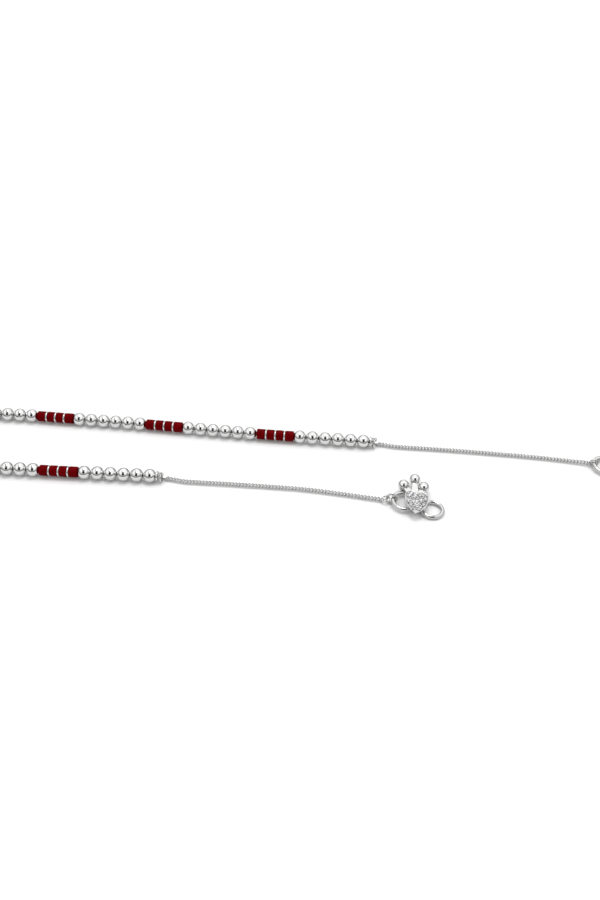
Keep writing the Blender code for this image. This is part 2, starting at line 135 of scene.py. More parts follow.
gap = tent_math("MULTIPLY", tent_edge(height_up, 0.17, 0.10), tent_edge(forward, 0.20, 0.60))
low_walls = tent_edge(height_up, 0.24, 0.05)
brightness = tent_math("MULTIPLY_ADD", windows, WINDOW_LIGHT, DOME_LIGHT)
# The share of the light that each dark place takes away
for shade, depth in ((opening, 0.98), (seam, 0.60), (gap, 0.85), (low_walls, 0.80)):
    brightness = tent_math("MULTIPLY", brightness, tent_math("MULTIPLY_ADD", shade, -depth, 1.0))
# Looked at directly, past the table's edge, the tent is plain white
seen_directly = tent_nodes.new("ShaderNodeLightPath").outputs["Is Camera Ray"]
brightness = tent_math("MAXIMUM", brightness, seen_directly)
tent_links.new(brightness, sky.inputs["Strength"])
sky.inputs["Color"].default_value = (1, 1, 1, 1)

lamp_data = bpy.data.lights.new("back_lamp", "AREA")
lamp_data.shape = "DISK"
lamp_data.size = 0.20
lamp_data.energy = 0.78
back_lamp = bpy.data.objects.new("back_lamp", lamp_data)
back_lamp.location = (0.02, 0.085, 0.49)
back_lamp.rotation_euler = (Vector((0, 0, 0)) - back_lamp.location).to_track_quat("-Z", "Y").to_euler()
bpy.context.scene.collection.objects.link(back_lamp)

# The string. Polished sterling silver balls are threaded in groups of six on a dark thread, and
# thin silver discs part the red beads between the groups. A disc and a soldered eye close each
# end. It is drawn here as two halves that meet at the fold, as in the solids.

BALL_DIAMETER = 2.60 * MM
THREAD_DIAMETER = 0.72 * MM
BALLS_IN_GROUP = 6
GROUPS = "S R S R S R S R S R S R S"
SLIDE = 0.08 * MM
TUBE_LENGTH = 1.40 * MM
END_TUBE_LENGTH = 1.60 * MM
TUBES_IN_GROUP = 4
DISC_DIAMETER = 2.12 * MM
DISC_THICKNESS = 0.36 * MM
SIDE_CLEARANCE = 0.03 * MM
EYE_DIAMETER = 0.86 * MM
EYE_WIRE = 0.30 * MM
EYE_REACH = 0.85 * MM
EYE_HEIGHT = 1.88 * MM
HOLE_DIAMETER = 1.00 * MM
BORE_DIAMETER = 0.76 * MM
CORD_DIAMETER = 0.70 * MM
STRING_START = 44.998 * MM
BALL_STEPS = 20
BALL_SIDES = 40
CORD_STEP = 1.0 * MM
BALL_PITCH = sqrt(BALL_DIAMETER**2 - THREAD_DIAMETER**2)
BALL_RADIUS = BALL_DIAMETER / 2

# The whole anklet's middle line on the table, in millimetres, from the catch ring to the hook
LINE = ((67.14, 6.49), (62.24, 7.24), (53.14, 7.84), (38.74, 8.19), (22.24, 8.29), (-1.26, 8.49),
        (-23.66, 9.21), (-36.26, 9.44), (-46.26, 9.59), (-54.26, 9.39), (-61.16, 8.39), (-66.46, 5.44),
        (-68.46, 1.64), (-66.86, -2.56), (-61.86, -5.56), (-54.26, -6.26), (-45.66, -6.01),
        (-31.26, -5.71), (-17.26, -5.36), (-9.66, -5.56), (3.34, -5.66), (9.94, -5.66), (16.14, -5.96),
        (21.84, -6.36), (26.74, -6.71), (34.74, -7.36))

corners = [Vector(corner) * MM for corner in LINE]
framed = [2 * corners[0] - corners[1], *corners, 2 * corners[-1] - corners[-2]]
line_points = []
for a, b, c, d in zip(framed, framed[1:], framed[2:], framed[3:]):
    for step in range(24):
        t = step / 24
        bend = (2 * a - 5 * b + 4 * c - d) * t**2 + (3 * b - a - 3 * c + d) * t**3
        line_points.append((2 * b + (c - a) * t + bend) / 2)
line_points.append(corners[-1])
line_lengths = [0.0]
for a, b in zip(line_points, line_points[1:]):
    line_lengths.append(line_lengths[-1] + (b - a).length)


def line_at(along):
    span = min(max(bisect_right(line_lengths, along) - 1, 0), len(line_points) - 2)
    a, b = line_points[span], line_points[span + 1]
    return a + (b - a).normalized() * (along - line_lengths[span])


def line_heading(along):
    ahead = line_at(along + BALL_DIAMETER / 4) - line_at(along - BALL_DIAMETER / 4)
    return atan2(ahead.y, ahead.x)


def on_line(along, height):
    """A frame on the middle line, with +X along it and +Z up."""
    place = line_at(along)
    turned = Matrix.Rotation(line_heading(along), 4, "Z")
    return Matrix.Translation((place.x, place.y, height)) @ turned


def turning_gap(along, tube_length):
    turn = line_heading(along + DISC_THICKNESS / 2) - line_heading(along - tube_length / 2)
    return SIDE_CLEARANCE + DISC_DIAMETER * abs(sin(asin(sin(turn)) / 2))


balls, discs, tubes = [], [], []
string_end = STRING_START
for group in GROUPS.split():
    if group == "S":
        for ball in range(BALLS_IN_GROUP):
            balls.append(string_end + BALL_PITCH / 2)
            string_end += BALL_PITCH
        continue
    for tube in range(TUBES_IN_GROUP):
        first, last = tube == 0, tube == TUBES_IN_GROUP - 1
        length = END_TUBE_LENGTH if first or last else TUBE_LENGTH
        string_end += SIDE_CLEARANCE if first else turning_gap(string_end, -length)
        tubes.append((string_end, length))
        string_end += length
        string_end += SIDE_CLEARANCE if last else turning_gap(string_end, length)
        if not last:
            discs.append(string_end + DISC_THICKNESS / 2)
            string_end += DISC_THICKNESS


def turned_about_x(profile, sides):
    """A closed profile of (along, out) turned into a ring about the X axis."""
    shape = bmesh.new()
    corners_round = [shape.verts.new((along, 0, out)) for along, out in profile]
    for a, b in zip(corners_round, corners_round[1:] + corners_round[:1]):
        shape.edges.new((a, b))
    bmesh.ops.spin(shape, geom=shape.verts[:] + shape.edges[:], cent=(0, 0, 0), axis=(1, 0, 0),
                   angle=2 * pi, steps=sides, use_merge=True)
    turned = bpy.data.meshes.new("turned_about_x")
    shape.to_mesh(turned)
    shape.free()
    return turned


def add_copy(shape, mesh, placed):
    before = len(shape.verts)
    shape.from_mesh(mesh)
    shape.verts.ensure_lookup_table()
    bmesh.ops.transform(shape, matrix=placed, verts=shape.verts[before:])


def drawn_through(shape, circles, sides):
    """One closed skin through circles given as (frame, radius), each about its frame's X axis."""

    def placed(circle):
        upright = circle[0] @ Matrix.Rotation(pi / 2, 4, "Y")
        return upright @ Matrix.Diagonal((circle[1], circle[1], circle[1], 1))
    made = bmesh.ops.create_circle(shape, cap_ends=True, segments=sides, radius=1, matrix=placed(circles[0]))
    edges = {edge for vert in made["verts"] for edge in vert.link_edges}
    for before, after in zip(circles, circles[1:]):
        grown = bmesh.ops.extrude_edge_only(shape, edges=list(edges))["geom"]
        verts = {part for part in grown if isinstance(part, bmesh.types.BMVert)}
        edges = {edge for vert in verts for edge in vert.link_edges if set(edge.verts) <= verts}
        move = placed(after) @ placed(before).inverted()
        bmesh.ops.transform(shape, matrix=move, verts=list(verts))
    bmesh.ops.contextual_create(shape, geom=list(edges))


def add_ring(shape, diameter, wire, placed, steps=40, sides=14):
    """A closed ring of round wire about the Z axis of the frame it is placed in."""
    section = Matrix.Translation((diameter / 2, 0, 0)) @ Matrix.Rotation(pi / 2, 4, "X")
    made = bmesh.ops.create_circle(shape, segments=sides, radius=wire / 2, matrix=section)
    before = set(shape.verts) - set(made["verts"])
    edges = list({edge for vert in made["verts"] for edge in vert.link_edges})
    bmesh.ops.spin(shape, geom=made["verts"] + edges, cent=(0, 0, 0), axis=(0, 0, 1),
                   angle=2 * pi, steps=steps, use_merge=True)
    bmesh.ops.transform(shape, matrix=placed, verts=list(set(shape.verts) - before))


def finished_piece(name, shape, finish, sharp=40):
    bmesh.ops.recalc_face_normals(shape, faces=shape.faces)
    mesh = bpy.data.meshes.new(name)
    shape.to_mesh(mesh)
    shape.free()
    mesh.shade_smooth()
    mesh.set_sharp_from_angle(angle=radians(sharp))
    mesh.materials.append(finish)
    piece = bpy.data.objects.new(name, mesh)
    bpy.context.scene.collection.objects.link(piece)
    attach(piece, "root")
    return piece


def polished_metal(name, colour, roughness, wear, grain):
    """Polished metal with a faint change of tint, polishing marks in its gloss and a soft waviness."""
    finish = bpy.data.materials.new(name)
    finish.use_nodes = True
    nodes, links = finish.node_tree.nodes, finish.node_tree.links
    shader = nodes["Principled BSDF"]
    shader.inputs["Metallic"].default_value = 1
    place = nodes.new("ShaderNodeTexCoord").outputs["Object"]
    tint = nodes.new("ShaderNodeTexNoise")
    tint.inputs["Scale"].default_value = grain / 4
    tint.inputs["Detail"].default_value = 3
    tints = nodes.new("ShaderNodeValToRGB")
    tints.color_ramp.elements[0].position = 0.35
    tints.color_ramp.elements[0].color = (*(share * 0.95 for share in colour), 1)
    tints.color_ramp.elements[1].position = 0.65
    tints.color_ramp.elements[1].color = (*colour, 1)
    marks = nodes.new("ShaderNodeTexNoise")
    marks.inputs["Scale"].default_value = grain
    marks.inputs["Detail"].default_value = 5
    gloss = nodes.new("ShaderNodeMapRange")
    gloss.inputs["To Min"].default_value = roughness
    gloss.inputs["To Max"].default_value = roughness + wear
    waves = nodes.new("ShaderNodeBump")
    waves.inputs["Strength"].default_value = 0.35
    waves.inputs["Distance"].default_value = 0.000004
    links.new(place, tint.inputs["Vector"])
    links.new(place, marks.inputs["Vector"])
    links.new(tint.outputs["Fac"], tints.inputs["Fac"])
    links.new(tints.outputs["Color"], shader.inputs["Base Color"])
    links.new(marks.outputs["Fac"], gloss.inputs["Value"])
    links.new(gloss.outputs["Result"], shader.inputs["Roughness"])
    links.new(tint.outputs["Fac"], waves.inputs["Height"])
    links.new(waves.outputs["Normal"], shader.inputs["Normal"])
    return finish


ball_silver = polished_metal("ball_silver", (0.66, 0.66, 0.655), 0.03, 0.06, 2600)

hole_angle = acos(HOLE_DIAMETER / BALL_DIAMETER)
ball_end = BALL_RADIUS * sin(hole_angle)
ball_angles = [hole_angle * (2 * step / BALL_STEPS - 1) for step in range(BALL_STEPS + 1)]
ball_profile = [(BALL_RADIUS * sin(angle), BALL_RADIUS * cos(angle)) for angle in ball_angles]
ball_profile += [(ball_end, BORE_DIAMETER / 2), (-ball_end, BORE_DIAMETER / 2)]
silver_ball = turned_about_x(ball_profile, BALL_SIDES)
rim = DISC_THICKNESS / 2
rim_angles = [radians(degrees_round) for degrees_round in (-90, -60, -30, 0, 30, 60, 90)]
disc_profile = [(rim * sin(angle), DISC_DIAMETER / 2 - rim + rim * cos(angle)) for angle in rim_angles]
disc_profile += [(rim, BORE_DIAMETER / 2), (-rim, BORE_DIAMETER / 2)]
silver_disc = turned_about_x(disc_profile, BALL_SIDES)

dark_thread = bpy.data.materials.new("dark_thread")
dark_thread.use_nodes = True
thread_nodes, thread_links = dark_thread.node_tree.nodes, dark_thread.node_tree.links
thread_shader = thread_nodes["Principled BSDF"]
thread_shader.inputs["Roughness"].default_value = 0.8
thread_place = thread_nodes.new("ShaderNodeTexCoord").outputs["Object"]
thread_strands = thread_nodes.new("ShaderNodeTexNoise")
thread_strands.inputs["Scale"].default_value = 9000
thread_tints = thread_nodes.new("ShaderNodeValToRGB")
thread_tints.color_ramp.elements[0].color = (0.015, 0.015, 0.016, 1)
thread_tints.color_ramp.elements[1].color = (0.075, 0.073, 0.07, 1)
thread_links.new(thread_place, thread_strands.inputs["Vector"])
thread_links.new(thread_strands.outputs["Fac"], thread_tints.inputs["Fac"])
thread_links.new(thread_tints.outputs["Color"], thread_shader.inputs["Base Color"])

meet = (balls[20] + balls[21]) / 2
# The discs and red beads lie a little loose, all pushed the same way along the thread
discs = [along + (SLIDE if along > meet else -SLIDE) for along in discs]
for half_name, node, cord_name, first, last, free_end, onward in (
    ("silver_string_upper", "string_upper", "thread_upper", STRING_START, meet, STRING_START, -1),
    ("silver_string_lower", "string_lower", "thread_lower", meet, string_end, string_end, 1),
):
    half = bmesh.new()
    for along in (*balls, *discs, free_end + onward * DISC_THICKNESS / 2):
        if first - DISC_THICKNESS < along < last + DISC_THICKNESS:
            add_copy(half, silver_ball if along in balls else silver_disc, on_line(along, BALL_RADIUS))
    tip = free_end + onward * EYE_REACH
    stub = [(on_line(along, BALL_RADIUS), THREAD_DIAMETER / 2) for along in (free_end, tip)]
    drawn_through(half, stub, 20)
    eye_place = on_line(tip, EYE_HEIGHT) @ Matrix.Rotation(pi / 2, 4, "X")
    add_ring(half, EYE_DIAMETER, EYE_WIRE, eye_place, steps=24, sides=10)
    half_string = finished_piece(half_name, half, ball_silver)
    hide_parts(node)
    cord = bmesh.new()
    steps = round((last - first) / CORD_STEP)
    cord_circles = [(on_line(first + (last - first) * step / steps, BALL_RADIUS), CORD_DIAMETER / 2)
                    for step in range(steps + 1)]
    drawn_through(cord, cord_circles, 16)
    thread_piece = finished_piece(cord_name, cord, dark_thread, 60)
    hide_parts(node)

# The red beads. Short tubes of dark red opaque glass, four to a group, cut square with softened
# rims and loose on the thread. The end tubes sit close up to the silver balls.

TUBE_DIAMETER = 2.06 * MM
TUBE_BORE_DIAMETER = 0.90 * MM
TUBE_ROUNDING = 0.12 * MM
TUBE_SIDES = 40

red_glass = bpy.data.materials.new("dark_red_glass")
red_glass.use_nodes = True
red_nodes, red_links = red_glass.node_tree.nodes, red_glass.node_tree.links
red_shader = red_nodes["Principled BSDF"]
red_shader.inputs["Roughness"].default_value = 0.34
red_shader.inputs["Specular IOR Level"].default_value = 0.015
red_place = red_nodes.new("ShaderNodeTexCoord").outputs["Object"]
red_cloud = red_nodes.new("ShaderNodeTexNoise")
red_cloud.inputs["Scale"].default_value = 900
red_cloud.inputs["Detail"].default_value = 4
red_colours = red_nodes.new("ShaderNodeValToRGB")
red_colours.color_ramp.elements[0].position = 0.3
red_colours.color_ramp.elements[0].color = (0.105, 0.0003, 0.0012, 1)
red_colours.color_ramp.elements[1].position = 0.7
red_colours.color_ramp.elements[1].color = (0.155, 0.0005, 0.0024, 1)
red_bump = red_nodes.new("ShaderNodeBump")
red_bump.inputs["Strength"].default_value = 0.5
red_bump.inputs["Distance"].default_value = 0.00001
red_links.new(red_place, red_cloud.inputs["Vector"])
red_links.new(red_cloud.outputs["Fac"], red_colours.inputs["Fac"])
red_links.new(red_colours.outputs["Color"], red_shader.inputs["Base Color"])
red_links.new(red_cloud.outputs["Fac"], red_bump.inputs["Height"])
red_links.new(red_bump.outputs["Normal"], red_shader.inputs["Normal"])

rounding = [radians(30 * step) for step in range(4)]
for number, (along, length) in enumerate(tubes, 1):
    along += SLIDE if along > meet else -SLIDE
    corner = [(length / 2 - TUBE_ROUNDING + TUBE_ROUNDING * sin(angle),
               TUBE_DIAMETER / 2 - TUBE_ROUNDING + TUBE_ROUNDING * cos(angle)) for angle in rounding]
    right_end = [*corner, (length / 2, TUBE_BORE_DIAMETER / 2)]
    left_end = [(-x, out) for x, out in reversed(right_end)]
    tube = bmesh.new()
    add_copy(tube, turned_about_x(left_end + right_end, TUBE_SIDES), on_line(along + length / 2, BALL_RADIUS))
    red_bead = finished_piece(f"red_glass_bead_{number:02d}", tube, red_glass, 50)
    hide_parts(f"red_bead_{number:02d}")

# The rings. Round silver wire bent to a ring and soldered shut: a jump ring at each end of the
# string, an end link beyond each chain, the large catch ring, and the ring that holds the hook.

JUMP_RING_DIAMETER = 1.70 * MM
JUMP_RING_WIRE = 0.36 * MM
JUMP_RING_HEIGHT = 1.03 * MM
END_LINK_DIAMETER = 1.45 * MM
END_LINK_WIRE = 0.30 * MM
HOOK_RING_DIAMETER = 1.76 * MM
HOOK_RING_WIRE = 0.44 * MM
CATCH_RING_DIAMETER = 4.20 * MM
CATCH_RING_WIRE = 0.90 * MM
CATCH_RING_HEIGHT = 0.625 * MM
CATCH_RING_SLOPE = radians(-4.78)
UPPER_JUMP = STRING_START - EYE_REACH
LOWER_JUMP = string_end + EYE_REACH
UPPER_LINK = 2.093 * MM
UPPER_LINK_HEIGHT = 0.875 * MM
LOWER_LINK = 237.180 * MM
LOWER_LINK_HEIGHT = 0.748 * MM
LOWER_LINK_SLOPE = radians(20)
HOOK_RING = 238.307 * MM
HOOK_RING_HEIGHT = 0.982 * MM
HOOK_RING_LEAN = radians(30)

wire_silver = polished_metal("wire_silver", (0.56, 0.56, 0.555), 0.08, 0.10, 4200)
along_strand = Matrix.Rotation(pi / 2, 4, "X")
across_strand = Matrix.Rotation(pi / 2, 4, "Y")
for ring_name, node, diameter, wire, placed in (
    ("jump_ring_at_catch_side", "jump_ring_upper", JUMP_RING_DIAMETER, JUMP_RING_WIRE,
     on_line(UPPER_JUMP, JUMP_RING_HEIGHT) @ across_strand),
    ("jump_ring_at_hook_side", "jump_ring_lower", JUMP_RING_DIAMETER, JUMP_RING_WIRE,
     on_line(LOWER_JUMP, JUMP_RING_HEIGHT) @ across_strand),
    ("link_at_catch_ring", "end_link_upper", END_LINK_DIAMETER, END_LINK_WIRE,
     on_line(UPPER_LINK, UPPER_LINK_HEIGHT) @ along_strand),
    ("link_at_hook_ring", "end_link_lower", END_LINK_DIAMETER, END_LINK_WIRE,
     on_line(LOWER_LINK, LOWER_LINK_HEIGHT) @ Matrix.Rotation(-LOWER_LINK_SLOPE, 4, "Y")),
    ("catch_ring_wire", "catch_ring", CATCH_RING_DIAMETER, CATCH_RING_WIRE,
     on_line(0, CATCH_RING_HEIGHT) @ Matrix.Rotation(CATCH_RING_SLOPE, 4, "Y")),
    ("hook_ring_wire", "hook_ring", HOOK_RING_DIAMETER, HOOK_RING_WIRE,
     on_line(HOOK_RING, HOOK_RING_HEIGHT) @ Matrix.Rotation(-HOOK_RING_LEAN, 4, "X") @ along_strand),
):
    ring = bmesh.new()
    add_ring(ring, diameter, wire, placed)
    ring_piece = finished_piece(ring_name, ring, wire_silver)
    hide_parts(node)

# The chains. A fine curb chain at each end: oval links of round wire, each twisted a quarter turn
# so that the chain lies flat, and an oval joining link through each jump ring.

LINK_HALF_LENGTH = 0.46 * MM
LINK_HALF_WIDTH = 0.38 * MM
LINK_WIRE = 0.24 * MM
LINK_TWIST = radians(45)
LINKS_IN_CHAIN = 66
JOIN_HALF_LENGTH = 0.60 * MM
JOIN_HALF_WIDTH = 0.33 * MM
JOIN_PLAY = 0.02 * MM
JOIN_REACH = 0.27 * MM
CHAIN_REACH = 0.96 * MM
CHAIN_HEIGHT = 0.45 * MM
EASE_LENGTH = 4.5 * MM
UPPER_CHAIN_END = 2.852 * MM
UPPER_END_HEIGHT = 0.62 * MM
UPPER_SWAY = -0.10 * MM
LOWER_CHAIN_END = 236.42 * MM
LOWER_END_HEIGHT = 0.50 * MM
LOWER_SWAY = 0.46 * MM
# How far below its level side each joining link sits on its jump ring, on the ring's far side
UPPER_DIP = radians(129)
LOWER_DIP = radians(51)


def oval_link(half_length, half_width, twist, steps, sides):
    """An oval of round wire, long along X, whose own plane turns about X by twist each way."""
    shape = bmesh.new()
    add_ring(shape, 2 * half_length, LINK_WIRE, Matrix.Identity(4), steps, sides)
    for vert in shape.verts:
        turn = atan2(vert.co.y, vert.co.x)
        out = hypot(vert.co.x, vert.co.y) - half_length
        facing = Vector((half_width * cos(turn), half_length * sin(turn), 0)).normalized()
        oval = Vector((half_length * cos(turn), half_width * sin(turn), vert.co.z)) + out * facing
        vert.co = Matrix.Rotation(twist * oval.x / half_length, 4, "X") @ oval
    link = bpy.data.meshes.new("oval_link")
    shape.to_mesh(link)
    shape.free()
    return link


def eased(value):
    value = min(max(value, 0), 1)
    return value * value * (3 - 2 * value)


def chain_place(along, jump, join_side, join_height, ring_height, ring_along, sway):
    """A place on the chain's middle line, from one side of the jump ring to the chain's other ring."""
    from_jump = 1 - eased(abs(along - jump) / EASE_LENGTH)
    from_ring = 1 - eased(abs(along - ring_along) / EASE_LENGTH)
    rise = from_jump * (join_height - CHAIN_HEIGHT)
    height = CHAIN_HEIGHT + rise + from_ring * (ring_height - CHAIN_HEIGHT)
    swung = sway * sin(pi * (along - jump) / (ring_along - jump))
    return on_line(along, height) @ Vector((0, join_side * from_jump + swung, 0))


chain_silver = polished_metal("chain_silver", (0.56, 0.56, 0.555), 0.07, 0.10, 4200)
curb_link = oval_link(LINK_HALF_LENGTH, LINK_HALF_WIDTH, LINK_TWIST, steps=12, sides=6)
joining_link = oval_link(JOIN_HALF_LENGTH, JOIN_HALF_WIDTH, 0, steps=28, sides=10)
for chain_name, node, jump, dip, first_link, last_link, ring_along, ring_height, sway in (
    ("curb_chain_upper", "chain_upper", UPPER_JUMP - JOIN_REACH, UPPER_DIP, UPPER_CHAIN_END,
     UPPER_JUMP - CHAIN_REACH, UPPER_CHAIN_END, UPPER_END_HEIGHT, UPPER_SWAY),
    ("curb_chain_lower", "chain_lower", LOWER_JUMP + JOIN_REACH, LOWER_DIP, LOWER_JUMP + CHAIN_REACH,
     LOWER_CHAIN_END, LOWER_CHAIN_END, LOWER_END_HEIGHT, LOWER_SWAY),
):
    join_side = (JUMP_RING_DIAMETER / 2 - JOIN_PLAY) * cos(dip)
    join_height = JUMP_RING_HEIGHT - (JUMP_RING_DIAMETER / 2 - JOIN_PLAY) * sin(dip)
    chain = bmesh.new()
    for link in range(LINKS_IN_CHAIN):
        along = first_link + (last_link - first_link) * link / (LINKS_IN_CHAIN - 1)
        here, ahead, behind = (
            chain_place(along + reach, jump, join_side, join_height, ring_height, ring_along, sway)
            for reach in (0, LINK_HALF_LENGTH / 2, -LINK_HALF_LENGTH / 2))
        forward_way = (ahead - behind).normalized()
        left_way = Vector((0, 0, 1)).cross(forward_way).normalized()
        up_way = forward_way.cross(left_way)
        turned = Matrix((forward_way, left_way, up_way)).transposed().to_4x4()
        add_copy(chain, curb_link, Matrix.Translation(here) @ turned)
    joining = on_line(jump, join_height) @ Matrix.Translation((0, join_side, 0))
    add_copy(chain, joining_link, joining @ Matrix.Rotation(-dip, 4, "X"))
    curb_chain = finished_piece(chain_name, chain, chain_silver, 60)
    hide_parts(node)

# The S-hook. One piece of round silver wire bent into a large and a smaller open loop, with
# rounded ends that lie under the heart. The large loop hangs in the hook ring.

HOOK_WIRE = 0.76 * MM
BIG_LOOP = 4.30 * MM / 2
SMALL_LOOP = 3.80 * MM / 2
LOOP_SPACING = 5.20 * MM
HOOK_PLACE = (31.703 * MM, -7.596 * MM, 0.653 * MM)
HOOK_HEADING = radians(-4.48)
HOOK_SLOPE = radians(3.52)
HOOK_TURN = radians(-11)
BIG_LOOP_START = radians(64)
SMALL_LOOP_END = radians(-166)
HOOK_STEPS = 44
HOOK_SIDES = 20

hook_middle = (Matrix.Translation(HOOK_PLACE)
               @ Matrix.Rotation(HOOK_HEADING, 4, "Z") @ Matrix.Rotation(HOOK_SLOPE, 4, "Y"))
hook_axis = hook_middle @ Matrix.Rotation(HOOK_TURN, 4, "Z")
cross = acos((BIG_LOOP + SMALL_LOOP) / LOOP_SPACING)
hook_circles = []
for centre, radius, start, sweep, facing in (
    (-LOOP_SPACING / 2, BIG_LOOP, BIG_LOOP_START, 2 * pi - cross - BIG_LOOP_START, pi / 2),
    (LOOP_SPACING / 2, SMALL_LOOP, pi - cross, SMALL_LOOP_END - pi + cross, -pi / 2),
):
    for step in range(HOOK_STEPS + 1):
        angle = start + sweep * step / HOOK_STEPS
        place = Matrix.Translation((centre + radius * cos(angle), radius * sin(angle), 0))
        hook_circles.append((hook_axis @ place @ Matrix.Rotation(angle + facing, 4, "Z"), HOOK_WIRE / 2))
tips = []
for end, way in ((hook_circles[0][0], -1), (hook_circles[-1][0], 1)):
    tips.append([(end @ Matrix.Translation((way * HOOK_WIRE / 2 * sin(angle), 0, 0)),
                  HOOK_WIRE / 2 * cos(angle)) for angle in (radians(25), radians(50), radians(75))])
hook = bmesh.new()
drawn_through(hook, [*reversed(tips[0]), *hook_circles, *tips[1]], HOOK_SIDES)
hook_silver = polished_metal("hook_silver", (0.56, 0.56, 0.555), 0.05, 0.08, 3200)
s_hook = finished_piece("s_hook_wire", hook, hook_silver)
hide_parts("heart_hook")

# The heart. A cast silver heart soldered over the middle of the hook, with a polished rim round
# a slightly domed bed for the stones.

HEART_WIDTH = 4.40 * MM
HEART_LENGTH = 5.70 * MM
LOBE_RADIUS = 1.18 * MM
HEART_SIDE_RADIUS = 5.00 * MM
SOLDER_DEPTH = 0.10 * MM
HEART_SHIFT = (-0.45 * MM, -0.48 * MM, 0)
HEART_HEADING = radians(2)
HEART_BASE = HOOK_WIRE / 2 - SOLDER_DEPTH
HEART_THICKNESS = 0.90 * MM
HEART_RIM = 0.20 * MM
RIM_ROUNDING = 0.07 * MM
BASE_SHARE = 0.78
BED_WALL = 0.04 * MM
BED_DEPTH = 0.10 * MM
BED_DOME = 0.30 * MM
BED_STEP = 0.24 * MM
BED_LIFTS = (0.45, 0.35, 0.20)

heart_middle = (hook_middle @ Matrix.Translation(HEART_SHIFT)
                @ Matrix.Rotation(HEART_HEADING, 4, "Z"))
heart_tip = Vector((0, -HEART_LENGTH / 2))
lobe_centre = Vector((HEART_WIDTH / 2 - LOBE_RADIUS, HEART_LENGTH / 2 - LOBE_RADIUS))
reach = lobe_centre - heart_tip
inward = HEART_SIDE_RADIUS - LOBE_RADIUS
bow = (reach.length_squared + inward**2 - HEART_SIDE_RADIUS**2) / (2 * inward * reach.length)
shoulder = atan2(reach.y, reach.x) - acos(bow)
side_centre = lobe_centre - inward * Vector((cos(shoulder), sin(shoulder)))
side_start = atan2(heart_tip.y - side_centre.y, heart_tip.x - side_centre.x)
cleft = pi - acos(lobe_centre.x / LOBE_RADIUS)

heart = bmesh.new()
last = heart.verts.new((heart_tip.x, heart_tip.y, HEART_BASE))
for centre, angle, steps in (
    (side_centre, shoulder - side_start, 8),
    (lobe_centre, cleft - shoulder, 16),
):
    spun = bmesh.ops.spin(heart, geom=[last], cent=(*centre, HEART_BASE), axis=(0, 0, 1),
                          angle=angle, steps=steps)
    last = next(part for part in spun["geom_last"] if isinstance(part, bmesh.types.BMVert))
bmesh.ops.mirror(heart, geom=heart.verts[:] + heart.edges[:], axis="X", merge_dist=MM / 1000)
bmesh.ops.remove_doubles(heart, verts=heart.verts, dist=MM / 1000)
bed = bmesh.ops.contextual_create(heart, geom=heart.edges[:])["faces"][0]
raised = bmesh.ops.extrude_face_region(heart, geom=[bed])["geom"]
bmesh.ops.translate(heart, verts=[part for part in raised if isinstance(part, bmesh.types.BMVert)],
                    vec=(0, 0, HEART_THICKNESS))
base_verts = [vert for vert in heart.verts if vert.co.z < HEART_BASE + HEART_THICKNESS / 2]
bmesh.ops.scale(heart, verts=base_verts, vec=(BASE_SHARE, BASE_SHARE, 1))
bed = next(part for part in raised if isinstance(part, bmesh.types.BMFace))
rim_edges = list(bed.edges)
bmesh.ops.inset_region(heart, faces=[bed], thickness=HEART_RIM)
rim_edges += list(bed.edges)
bmesh.ops.inset_region(heart, faces=[bed], thickness=BED_WALL)
bmesh.ops.translate(heart, verts=bed.verts, vec=(0, 0, -BED_DEPTH))
for lift in BED_LIFTS:
    bmesh.ops.inset_region(heart, faces=[bed], thickness=BED_STEP)
    bmesh.ops.translate(heart, verts=bed.verts, vec=(0, 0, BED_DOME * lift))
bmesh.ops.bevel(heart, geom=rim_edges, affect="EDGES", offset=RIM_ROUNDING, segments=3, profile=0.5,
                material=-1)
bmesh.ops.triangulate(heart, faces=[face for face in heart.faces if len(face.verts) > 4])
bed_tree = BVHTree.FromBMesh(heart)
bmesh.ops.transform(heart, matrix=heart_middle, verts=heart.verts)
heart_setting = finished_piece("heart_setting", heart, hook_silver, 35)
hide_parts("heart_hook")

# The stones. Small round clear stones set close together over the heart's bed, each with a flat
# table and eight facets round it, held by grains raised from the silver between them.

STONE_DIAMETER = 0.54 * MM
STONE_TABLE = 0.28 * MM
STONE_CROWN = 0.14 * MM
STONE_PITCH = 0.55 * MM
STONE_SINK = 0.03 * MM
STONE_SHIFT = 0.05 * MM
STONE_EDGE_SHARE = 0.30
STONE_TURN = 0.7
GRAIN_DIAMETER = 0.15 * MM

clear_stone = bpy.data.materials.new("clear_stone")
clear_stone.use_nodes = True
stone_nodes, stone_links = clear_stone.node_tree.nodes, clear_stone.node_tree.links
stone_shader = stone_nodes["Principled BSDF"]
stone_shader.inputs["Metallic"].default_value = 0.75
stone_shader.inputs["Roughness"].default_value = 0.02
stone_shader.inputs["IOR"].default_value = 2.15
stone_place = stone_nodes.new("ShaderNodeTexCoord").outputs["Object"]
# The stones' colour is painted glints: small cells from near black to near white stand in for the light that
# the clear, faceted stones reflect and let through
stone_glint_cells = stone_nodes.new("ShaderNodeTexVoronoi")
stone_glint_cells.inputs["Scale"].default_value = 3800
stone_painted_glints = stone_nodes.new("ShaderNodeValToRGB")
stone_painted_glints.color_ramp.elements[0].position = 0.35
stone_painted_glints.color_ramp.elements[0].color = (0.08, 0.08, 0.09, 1)
stone_painted_glints.color_ramp.elements[1].position = 0.85
stone_painted_glints.color_ramp.elements[1].color = (0.92, 0.92, 0.93, 1)
stone_links.new(stone_place, stone_glint_cells.inputs["Vector"])
stone_links.new(stone_glint_cells.outputs["Color"], stone_painted_glints.inputs["Fac"])
stone_links.new(stone_painted_glints.outputs["Color"], stone_shader.inputs["Base Color"])


def in_heart(x, y, margin):
    """Whether a place is inside the heart's outline by that margin."""
    place = Vector((abs(x), y))
    from_lobe = place - lobe_centre
    if atan2(from_lobe.y, from_lobe.x) > shoulder:
        return from_lobe.length < LOBE_RADIUS - margin or (y < lobe_centre.y and place.x < lobe_centre.x)
    return (place - side_centre).length < HEART_SIDE_RADIUS - margin


